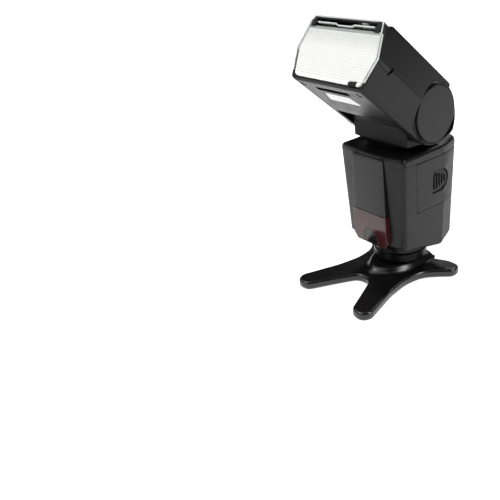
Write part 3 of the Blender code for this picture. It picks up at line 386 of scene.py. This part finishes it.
def head_cutter(outline, low, high, axis="Z"):
    """A prism in the head's own space, to cut with."""
    bm = bmesh.new()
    extrude_outline(bm, outline, low, high, axis)
    bmesh.ops.recalc_face_normals(bm, faces=bm.faces)
    bmesh.ops.transform(bm, matrix=head_matrix(), verts=bm.verts)
    return object_from(bm, "cutter")


def carve(piece, cutters):
    """Cuts solids out of a piece and removes them."""
    for cutter in cutters:
        step = piece.modifiers.new("carve", "BOOLEAN")
        step.solver = "EXACT"
        step.operation = "DIFFERENCE"
        step.object = cutter
    bpy.context.view_layer.update()
    graph = bpy.context.evaluated_depsgraph_get()
    piece.data = bpy.data.meshes.new_from_object(piece.evaluated_get(graph))
    piece.modifiers.clear()
    for cutter in cutters:
        bpy.data.objects.remove(cutter, do_unlink=True)


def finish_piece(bm, name, look, body, matrix, smooth=35.0, cutters=()):
    """Makes the object, places it in the world, shades it and lets it ride on its body."""
    bmesh.ops.remove_doubles(bm, verts=bm.verts, dist=1e-6)
    bmesh.ops.recalc_face_normals(bm, faces=bm.faces)
    bmesh.ops.transform(bm, matrix=matrix, verts=bm.verts)
    piece = object_from(bm, name)
    piece.data.materials.append(look)
    if cutters:
        carve(piece, cutters)
    piece.data.polygons.foreach_set("use_smooth", [True] * len(piece.data.polygons))
    piece.data.set_sharp_from_angle(angle=math.radians(smooth))
    weighted = piece.modifiers.new("weighted", "WEIGHTED_NORMAL")
    weighted.keep_sharp = True
    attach(piece, body)
    return piece


def bevel_edges(bm, width):
    """Rounds the sharp edges."""
    least = math.radians(28.0)
    sharp = [e for e in bm.edges if len(e.link_faces) == 2 and e.calc_face_angle(0.0) > least]
    bmesh.ops.bevel(bm, geom=sharp, offset=width, segments=2, profile=0.6, affect="EDGES",
                    clamp_overlap=True)


def extrude_outline(bm, outline, low, high, axis="Z"):
    """Closed prism of an outline between two places along an axis."""
    def spot(a, b, c):
        return {"X": (c, a, b), "Y": (a, c, b), "Z": (a, b, c)}[axis]
    rings = [[bm.verts.new(spot(a, b, c)) for a, b in outline] for c in (low, high)]
    bm.faces.new(rings[0])
    bm.faces.new(reversed(rings[1]))
    count = len(outline)
    for k in range(count):
        j = (k + 1) % count
        bm.faces.new((rings[0][j], rings[0][k], rings[1][k], rings[1][j]))


def join_rings(bm, rings):
    """Walls and end caps of a bar through rings of four corners each."""
    bm.faces.new(rings[0])
    bm.faces.new(rings[-1])
    for a, b in zip(rings, rings[1:]):
        for k in range(4):
            j = (k + 1) % 4
            bm.faces.new((a[k], a[j], b[j], b[k]))


def rounded_rect(x0, x1, y0, y1, radius):
    steps = 4
    points = []
    for cx, cy, start in ((x1 - radius, y0 + radius, -90.0), (x1 - radius, y1 - radius, 0.0),
                          (x0 + radius, y1 - radius, 90.0), (x0 + radius, y0 + radius, 180.0)):
        for k in range(steps + 1):
            a = math.radians(start + 90.0 * k / steps)
            points.append((cx + radius * math.cos(a), cy + radius * math.sin(a)))
    return points


def circle_points(radius, count, centre=(0.0, 0.0)):
    angles = [math.tau * k / count for k in range(count)]
    return [(centre[0] + radius * math.cos(a), centre[1] + radius * math.sin(a)) for a in angles]


def mirrored(outline, side):
    return [(side * x, h) for x, h in outline]


def face_l(h):
    """How far in front of the tilt axis the leaning front face is, at a height on it."""
    return FACE_MIDDLE + FACE_LEAN * h


# ---------------------------------------------------------------- pieces from the CAD shapes

REFINED = {
    # node: edge rounding in millimetres
    "stand_base": 0.0, "mounting_foot": 0.15, "locking_collar": 0.25,
    "body_front_shell": 0.0, "body_rear_shell": 0.0, "body_top_cover": 0.0, "front_panel": 0.12,
    "af_assist_window": 0.12, "sensor_window": 0.12, "battery_door": 0.0, "door_latch": 0.18,
    "head_upper_shell": 0.0, "head_lower_shell": 0.0, "tilt_cap_left": 0.0, "tilt_cap_right": 0.0,
    "head_yoke": 0.2, "card_guide": 0.15, "bounce_card": 0.12, "underside_cover": 0.0,
    "terminal_cover": 0.15, "display_window": 0.12, "selector_dial": 0.15, "confirm_button": 0.15,
    "power_switch": 0.15, "function_button_1": 0.15, "function_button_2": 0.15,
    "function_button_3": 0.15, "mode_button": 0.15, "zoom_button": 0.15, "test_button": 0.15,
    "head_release_button": 0.12, "ready_lamp": 0.1, "reflector": 0.0, "flash_tube": 0.0,
}

# Nodes that look different from their material slot. The yoke, collar and foot get a darker, less shiny
# black, which is painted shade for parts that sit in shadow.
SPECIAL_LOOKS = {
    "underside_cover": "glossy_plate", "head_yoke": "painted_shade_black_plastic",
    "locking_collar": "painted_shade_black_plastic", "mounting_foot": "painted_shade_black_plastic",
    "head_screw_left": "black_screw", "head_screw_right": "black_screw",
}


def side_cutters():
    """Groove round each cap, and the small step where the head's seam meets it."""
    notch = [(-59.9, -4.6), (-58.0, -4.6), (-58.0, -2.6), (-57.0, -2.6), (-57.0, 0.6), (-58.9, 0.6),
             (-58.9, -1.8), (-59.9, -1.8)]
    cutters = []
    for side, _ in SIDES:
        low, high = sorted((side * CAP_GROOVE_X, side * PAST_SIDE_X))
        cutters.append(head_cutter(circle_points(CAP_GROOVE_R, 64), low, high, "X"))
        low, high = sorted((side * SEAM_NOTCH_X, side * PAST_SIDE_X))
        cutters.append(head_cutter(notch, low, high, "X"))
    return cutters


def upper_shell_cutters():
    """Side cuts, and the rounded front corners of the top."""
    corner = [(29.8, 25.0), (29.8, 22.8), (31.8, 21.7), (33.2, 19.6), (36.0, 19.6), (36.0, 25.0)]
    return side_cutters() + [head_cutter(mirrored(corner, side), -80.0, -69.0, "Y") for side, _ in SIDES]


def lower_shell_cutters():
    """Side cuts, and the card slot under the head."""
    slot = rounded_rect(-15.8, 15.8, -61.3, -57.0, 1.2)
    return side_cutters() + [head_cutter(slot, -30.0, -20.7)]


def bounce_card_cutters():
    """The card's front edge is set back, except at its tab."""
    past_card = 27.0
    return [head_cutter(rounded_rect(low, high, -78.0, -62.0, 0.5), 18.0, 20.0)
            for low, high in ((-past_card, TAB_LEFT - 0.2), (TAB_RIGHT + 0.2, past_card))]


CUTTERS = {"head_upper_shell": upper_shell_cutters, "head_lower_shell": lower_shell_cutters,
           "bounce_card": bounce_card_cutters}


def look_of(node, looks):
    return looks[SPECIAL_LOOKS.get(node, node_slots[node])]


def refine(node, width, looks):
    """A shaded copy of a CAD shape with cleaned faces and rounded edges, which stands for the node."""
    bm = bmesh.new()
    bm.from_mesh(nodes[node].data)
    bmesh.ops.remove_doubles(bm, verts=bm.verts, dist=2e-6)
    bmesh.ops.dissolve_limit(bm, angle_limit=math.radians(0.6), verts=bm.verts, edges=bm.edges)
    if width > 0.0:
        bevel_edges(bm, width * MM)
    cutters = CUTTERS[node]() if node in CUTTERS else ()
    piece = finish_piece(bm, node + "_fine", look_of(node, looks), body_of_node[node],
                         Matrix.Identity(4), cutters=cutters)
    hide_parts(node)


# ---------------------------------------------------------------- the lens

def lens_half(h):
    """Half width of the lens at a height, with its straight edges carried on past its ends."""
    if h < LENS_MID:
        return LENS_LOW_HALF + (LENS_MID_HALF - LENS_LOW_HALF) * (h - LENS_LOW) / (LENS_MID - LENS_LOW)
    return LENS_MID_HALF + (LENS_TOP_HALF - LENS_MID_HALF) * (h - LENS_MID) / (LENS_TOP - LENS_MID)


def lens_row_half(h):
    """Half width of the lens at a height, with its lower corners rounded."""
    rise = h - LENS_LOW
    if rise >= LENS_CORNER_R:
        return lens_half(h)
    across = math.sqrt(max(0.0, LENS_CORNER_R ** 2 - (LENS_CORNER_R - rise) ** 2))
    return lens_half(h) - (LENS_CORNER_R - across)


def lens_rows():
    """Rows (height, distance proud of the face) of the saw-toothed front."""
    bevel = 0.35
    rows = [(LENS_LOW, 0.3), (LENS_LOW + bevel, LENS_PROUD)]
    for k in range(1, 5):
        rows.append((LENS_LOW + bevel + 0.5 * k, LENS_PROUD))
    h = RIBS_START
    while h < RIBS_END:
        rows += [(h, RIB_GROOVE), (h + RIB_STEP, RIB_GROOVE), (h + RIB_PITCH - RIB_CREST, LENS_PROUD)]
        h += RIB_PITCH
    rows += [(h + 0.2, LENS_PROUD), (LENS_TOP - 0.3, LENS_PROUD), (LENS_TOP, 0.6)]
    return rows


def build_fresnel():
    """Fresnel lens: fine ribs across a leaning plate with dropped side edges."""
    bm = bmesh.new()
    columns = [-1.0, -0.97, -0.6, -0.2, 0.2, 0.6, 0.97, 1.0]
    front, back = [], []
    for h, proud in lens_rows():
        half = lens_row_half(h)
        row = []
        for c in columns:
            drop = 0.35 if abs(c) == 1.0 else 0.0
            row.append(bm.verts.new((c * half, -face_l(h) - proud + drop, h)))
        front.append(row)
        back.append([bm.verts.new((side * half, -face_l(h) + LENS_BACK, h)) for side in (-1.0, 1.0)])
    for a, b in zip(front, front[1:]):
        for k in range(len(columns) - 1):
            bm.faces.new((a[k], a[k + 1], b[k + 1], b[k]))
    for k in range(len(back) - 1):
        bm.faces.new((back[k][0], back[k + 1][0], back[k + 1][1], back[k][1]))
        bm.faces.new((front[k][0], front[k + 1][0], back[k + 1][0], back[k][0]))
        bm.faces.new((front[k][-1], back[k][1], back[k + 1][1], front[k + 1][-1]))
    bm.faces.new([*front[0], back[0][1], back[0][0]])
    bm.faces.new([*reversed(front[-1]), back[-1][0], back[-1][1]])
    lens = finish_piece(bm, "fresnel_lens_ribbed", lens_look(), "head", head_matrix(), 12.0)
    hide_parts("fresnel_lens")


def edge_strip(bm, side, start, width, heights):
    """A thin strip beside the lens, following its edge at a distance."""
    rings = []
    for h in heights:
        inner = lens_half(h) + start
        front, back = -face_l(h) - LENS_PROUD, -face_l(h) + 0.4
        rings.append([bm.verts.new((side * x, y, h)) for x, y in (
            (inner, back), (inner + width, back), (inner + width, front), (inner, front))])
    join_rings(bm, rings)


def build_lens_flanges(looks):
    """Two clear strips on each side of the lens, in front of the shell's rim, coloured near white as a
    painted highlight.
    """
    for side, word in SIDES:
        bm = bmesh.new()
        edge_strip(bm, side, 0.2, 0.5, [LENS_MID - 1.5, LENS_MID, 4.0, 9.0, LENS_TOP, RIM_MIDDLE])
        edge_strip(bm, side, 1.5, 0.4, [LENS_LOW + 3.0, LENS_MID, 4.0, 9.0, LENS_TOP - 1.0])
        finish_piece(bm, "lens_flange_" + word, looks["painted_glint_clear_edge"], "head",
                     head_matrix(), 30.0)


def build_lens_clip(looks):
    """Small black clip over the lens's lower right corner."""
    bm = bmesh.new()
    clip = [(21.5, LENS_LOW - 0.4), (21.5, LENS_LOW + 1.5), (23.0, LENS_LOW + 2.2), (28.6, LENS_LOW + 2.6),
            (28.0, LENS_LOW - 0.4)]
    extrude_outline(bm, clip, -face_l(LENS_LOW) - 1.5, -face_l(LENS_LOW) + 0.6, "Y")
    bevel_edges(bm, 0.3)
    finish_piece(bm, "lens_clip", looks["matte_black_plastic"], "head",
                 head_matrix())


# ---------------------------------------------------------------- the card slot above the lens

def build_slot_rim(looks):
    """Clear bar along the top of the slot, between the upper ends of the strips, coloured near white as a
    painted highlight.
    """
    bm = bmesh.new()
    rear = -74.0
    outline = [(-face_l(21.4) - 0.9, RIM_LOW), (-face_l(22.0) - 0.9, RIM_HIGH), (rear, RIM_HIGH),
               (rear, RIM_LOW)]
    half = lens_half(RIM_MIDDLE) + 0.6
    extrude_outline(bm, outline, -half, half, "X")
    finish_piece(bm, "slot_rim", looks["painted_glint_clear_edge"], "head", head_matrix(), 30.0)


def build_wide_panel(looks):
    """Clear pull-out panel with ribs across it."""
    bm = bmesh.new()
    plate = rounded_rect(-PANEL_HALF, PANEL_HALF, PANEL_FRONT, PANEL_REAR, 1.0)
    extrude_outline(bm, plate, PANEL_LOW, PANEL_HIGH)
    foot = PANEL_HIGH - 0.05
    for k in range(20):
        rib = -72.0 + 2.0 * k
        triangle = [(rib, foot), (rib + 1.7, foot), (rib + 0.5, PANEL_HIGH + 0.3)]
        extrude_outline(bm, triangle, -23.0, 23.0, "X")
    panel = finish_piece(bm, "wide_panel_ribbed", looks["clear_plastic"], body_of_node["wide_panel"],
                         head_matrix(), 25.0)
    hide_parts("wide_panel")


def build_panel_lip(looks):
    """Front lip of the clear panel, which dips where a finger pulls it, coloured near white as a painted
    highlight.
    """
    bm = bmesh.new()
    high, low = 17.5, 16.3
    front, back, half_height = -75.4, -74.0, 0.35
    path = [(-PANEL_HALF, high), (-8.4, high), (-6.4, low), (6.4, low), (8.4, high), (PANEL_HALF, high)]
    rings = []
    for x, z in path:
        below, above = z - half_height, z + half_height
        rings.append([bm.verts.new((x, *yz)) for yz in (
            (front, below), (back, below), (back, above), (front, above))])
    join_rings(bm, rings)
    finish_piece(bm, "wide_panel_lip", looks["painted_glint_clear_edge"], body_of_node["wide_panel"],
                 head_matrix(), 25.0)


def build_corner_blocks(looks):
    """Black blocks at both ends of the card slot."""
    block = [(27.8, 14.0), (31.6, 14.0), (32.2, 18.4), (30.6, 20.6), (28.4, 21.4), (27.8, 21.4)]
    for side, word in SIDES:
        bm = bmesh.new()
        extrude_outline(bm, mirrored(block, side), -75.6, -64.0, "Y")
        bevel_edges(bm, 0.6)
        finish_piece(bm, "corner_block_" + word, looks["satin_black_plastic"], "head",
                     head_matrix())


def build_slot_fittings(looks):
    """A pale pad and a small pivot at the right of the card slot."""
    bm = bmesh.new()
    extrude_outline(bm, rounded_rect(TAB_LEFT, TAB_RIGHT, 19.9, 21.4, 0.4), -73.9, -69.0, "Y")
    bevel_edges(bm, 0.2)
    finish_piece(bm, "slot_pad", looks["white_plastic"], "head", head_matrix())
    bm = bmesh.new()
    extrude_outline(bm, circle_points(1.0, 20, (-72.4, 20.8)), 19.2, 24.6, "X")
    bevel_edges(bm, 0.2)
    finish_piece(bm, "slot_pivot", looks["matte_black_plastic"], "head",
                 head_matrix())


# ---------------------------------------------------------------- scene

def build_floor():
    """A plain pale studio floor."""
    made, tn, tl, shader = principled("floor_look")
    tone = ranged(tn, tl, noise(tn, tl, 3.0, 2.0), 0.0, 1.0)
    tl.new(colour_mix(tn, tl, tone, (0.9, 0.9, 0.9), (0.92, 0.92, 0.92)), shader.inputs["Base Color"])
    set_sockets(shader, {"Roughness": 0.6, "Specular IOR Level": 0.0, "Emission Strength": FLOOR_GLOW,
                         "Emission Color": WHITE})
    bm = bmesh.new()
    bmesh.ops.create_circle(bm, cap_ends=True, segments=64, radius=FLOOR_RADIUS)
    floor = object_from(bm, "floor")
    floor.data.materials.append(made)
    floor.location.z = FLOOR_Z


def build_world():
    """Background that is white where it is seen, and a faint light from above otherwise."""
    world = bpy.data.worlds.new("studio")
    world.use_nodes = True
    tn, tl = world.node_tree.nodes, world.node_tree.links
    background = tn["Background"]
    place = tn.new("ShaderNodeTexCoord")
    split = tn.new("ShaderNodeSeparateXYZ")
    tl.new(place.outputs["Generated"], split.inputs["Vector"])
    overhead = ranged(tn, tl, split.outputs["Z"], 0.003, 0.06, 0.25, 0.95)
    ray = tn.new("ShaderNodeLightPath")
    strength = tn.new("ShaderNodeMath")
    strength.operation = "MAXIMUM"
    tl.new(overhead, strength.inputs[0])
    tl.new(ray.outputs["Is Camera Ray"], strength.inputs[1])
    tl.new(strength.outputs["Value"], background.inputs["Strength"])
    background.inputs["Color"].default_value = WHITE
    bpy.context.scene.world = world


def area_light(name, place, aim, size, power):
    light = bpy.data.lights.new(name, "AREA")
    light.shape = "RECTANGLE"
    light.size, light.size_y = size
    light.energy = power
    ob = bpy.data.objects.new(name, light)
    ob.location = place
    ob.rotation_euler = (Vector(aim) - Vector(place)).to_track_quat("-Z", "Y").to_euler()
    bpy.context.scene.collection.objects.link(ob)


def build_lights():
    """A broad soft sun, and boxes whose places and sizes are in metres."""
    sun = bpy.data.lights.new("soft_key", "SUN")
    sun.energy = SUN_POWER
    sun.angle = math.radians(SUN_ANGLE)
    key = bpy.data.objects.new("soft_key", sun)
    key.rotation_euler = SUN_FROM.to_track_quat("Z", "Y").to_euler()
    bpy.context.scene.collection.objects.link(key)
    middle = (0.0, 0.0, 0.09)
    head = (0.0, -0.05, 0.18)
    area_light("right_box", (0.95, 0.25, 0.75), middle, (0.3, 0.9), 9.0)
    area_light("lens_box", (-0.2, -0.75, 0.8), head, (0.5, 0.4), 4.5)
    area_light("rear_box", (-0.15, 0.7, 0.7), middle, (0.9, 0.2), 3.0)


def build_camera():
    azimuth, elevation = math.radians(VIEW_AZIMUTH), math.radians(VIEW_ELEVATION)
    roll = math.radians(VIEW_ROLL)
    back = Vector((math.sin(azimuth) * math.cos(elevation), -math.cos(azimuth) * math.cos(elevation),
                   math.sin(elevation)))
    level = Vector((math.cos(azimuth), math.sin(azimuth), 0.0))
    up = back.cross(level)
    right = level * math.cos(roll) + up * math.sin(roll)
    upward = up * math.cos(roll) - level * math.sin(roll)
    camera = bpy.data.cameras.new("camera")
    camera.lens = FOCAL_LENGTH
    camera.sensor_width = SENSOR_WIDTH
    camera.clip_start = 0.01
    camera.shift_x, camera.shift_y = SHIFT
    ob = bpy.data.objects.new("camera", camera)
    place = Matrix((right, upward, back)).transposed().to_4x4()
    place.translation = (VIEW_TARGET + back * VIEW_DISTANCE) * MM
    ob.matrix_world = place
    bpy.context.scene.collection.objects.link(ob)
    bpy.context.scene.camera = ob


def main():
    looks = {**black_looks(), **coloured_looks(), **metal_looks()}
    for node, ob in nodes.items():
        ob.data.materials.clear()
        ob.data.materials.append(look_of(node, looks))
    for node, width in REFINED.items():
        refine(node, width, looks)
    build_fresnel()
    build_lens_flanges(looks)
    build_lens_clip(looks)
    build_slot_rim(looks)
    build_wide_panel(looks)
    build_panel_lip(looks)
    build_corner_blocks(looks)
    build_slot_fittings(looks)
    build_floor()
    build_world()
    build_lights()
    build_camera()
    bpy.context.scene.view_settings.view_transform = "Standard"


main()
